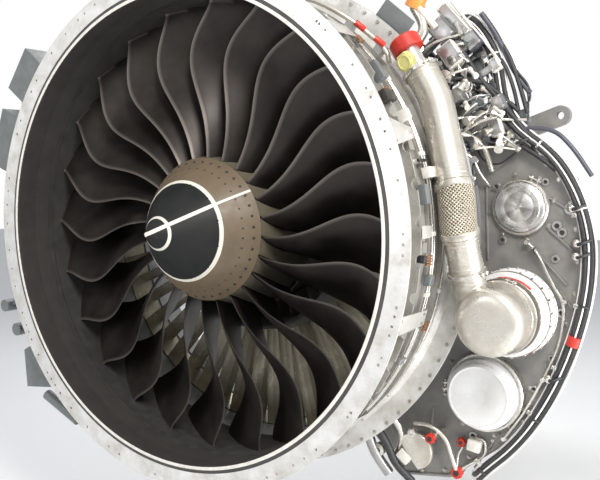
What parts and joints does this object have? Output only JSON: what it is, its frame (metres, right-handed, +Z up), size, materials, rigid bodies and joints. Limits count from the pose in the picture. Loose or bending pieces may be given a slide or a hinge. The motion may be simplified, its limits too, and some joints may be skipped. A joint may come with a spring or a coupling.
{
  "type": "jet engine",
  "caption": "Large three-shaft turbofan with swept wide-chord fan blades, domed spinner, case-mounted gearbox and air starter duct; all three shafts turn freely.",
  "frame": {"origin": "centre of the front flange's face, on the shaft axis", "axes": "+Y along the shaft from the air intake to the exhaust, +Z up, +X towards the gearbox side"},
  "size_m": [4.0955, 5.264, 3.3282],
  "materials": {
    "case_alloy": "painted aluminium, satin",
    "barrel_liner": "dark grey composite panel",
    "track_liner": "near-black rub lining",
    "case_grey": "grey paint, satin",
    "bolt_steel": "plain steel",
    "vane_metal": "bare metal, warm",
    "fairing_panel": "pale paint",
    "bearing_steel": "ground steel",
    "core_metal": "bare alloy",
    "hot_metal": "heat-stained alloy",
    "mount_steel": "machined steel",
    "gearbox_casting": "dark grey cast alloy",
    "polished_cover": "turned, polished",
    "clamp_steel": "bright steel band",
    "white_cover": "white gloss",
    "white_paint": "white gloss",
    "duct_cream": "cream-grey heat-stained steel",
    "braid": "woven steel braid",
    "red_cap": "red plastic",
    "clip_white": "white plastic",
    "pipe_steel": "bright steel tube",
    "harness_black": "black sleeve",
    "box_grey": "grey paint, satin",
    "spinner_black": "black-grey paint, satin",
    "spinner_tan": "tan paint, satin",
    "disc_metal": "machined titanium",
    "blade_titanium": "dark titanium, satin",
    "filler_olive": "olive-tan paint"
  },
  "bodies": {
    "engine_frame": {"fan_case": "case_alloy", "front_barrel_panel": "barrel_liner", "fan_track_lining": "track_liner", "rear_fan_case": "case_grey", "flange_bolts": "bolt_steel", "outlet_guide_vanes": "vane_metal", "intermediate_case": "case_grey", "splitter_nose": "case_grey", "core_inlet_vanes": "vane_metal", "core_fairing": "fairing_panel", "front_bearing_housing": "case_grey", "bearing_outer_rings": "bearing_steel", "ip_compressor_case": "core_metal", "high_compressor_case": "core_metal", "combustor_case": "hot_metal", "combustor_liner": "hot_metal", "fuel_nozzles": "hot_metal", "turbine_case": "hot_metal", "turbine_guide_vanes": "hot_metal", "exhaust_frame": "hot_metal", "exhaust_nozzle": "hot_metal", "tail_cone": "hot_metal", "front_mount": "mount_steel", "rear_mount": "mount_steel", "gearbox_housing": "gearbox_casting", "gearbox_links": "mount_steel", "upper_pad_cover": "polished_cover", "lower_pad_cover": "white_cover", "pad_clamp_rings": "clamp_steel", "air_starter": "white_paint", "duct_elbow": "duct_cream", "lower_air_duct": "duct_cream", "braided_joint": "braid", "upper_air_duct": "duct_cream", "duct_adapter": "clamp_steel", "duct_band_clamps": "clamp_steel", "blanking_caps": "red_cap", "bleed_valve": "duct_cream", "case_pipes": "pipe_steel", "case_brackets": "case_alloy", "pipe_clips": "clip_white", "drain_tube": "pipe_steel", "wiring_harness": "harness_black", "control_boxes": "box_grey", "lug_bracket": "gearbox_casting", "side_fittings": "box_grey", "top_fittings": "box_grey"},
    "fan_rotor": {"spinner_cone": "spinner_black", "spinner_fairing": "spinner_tan", "rotor_screws": "bolt_steel", "fan_disc": "disc_metal", "fan_blades": "blade_titanium", "annulus_fillers": "filler_olive", "fan_shaft": "bearing_steel", "shaft_bearings": "bearing_steel", "lp_turbine": "hot_metal"},
    "ip_rotor": {"ip_compressor": "core_metal", "ip_turbine": "hot_metal"},
    "high_rotor": {"high_compressor": "core_metal", "high_turbine": "hot_metal"}
  },
  "joints": [
    {"name": "fan_spin", "type": "hinge", "parent": "engine_frame", "child": "fan_rotor", "pos_m": [0, 0, 0], "axis": [0, 1, 0], "continuous": true},
    {"name": "ip_spin", "type": "hinge", "parent": "engine_frame", "child": "ip_rotor", "pos_m": [0, 1.5, 0], "axis": [0, 1, 0], "continuous": true},
    {"name": "high_spin", "type": "hinge", "parent": "engine_frame", "child": "high_rotor", "pos_m": [0, 2.2, 0], "axis": [0, 1, 0], "continuous": true}
  ]
}
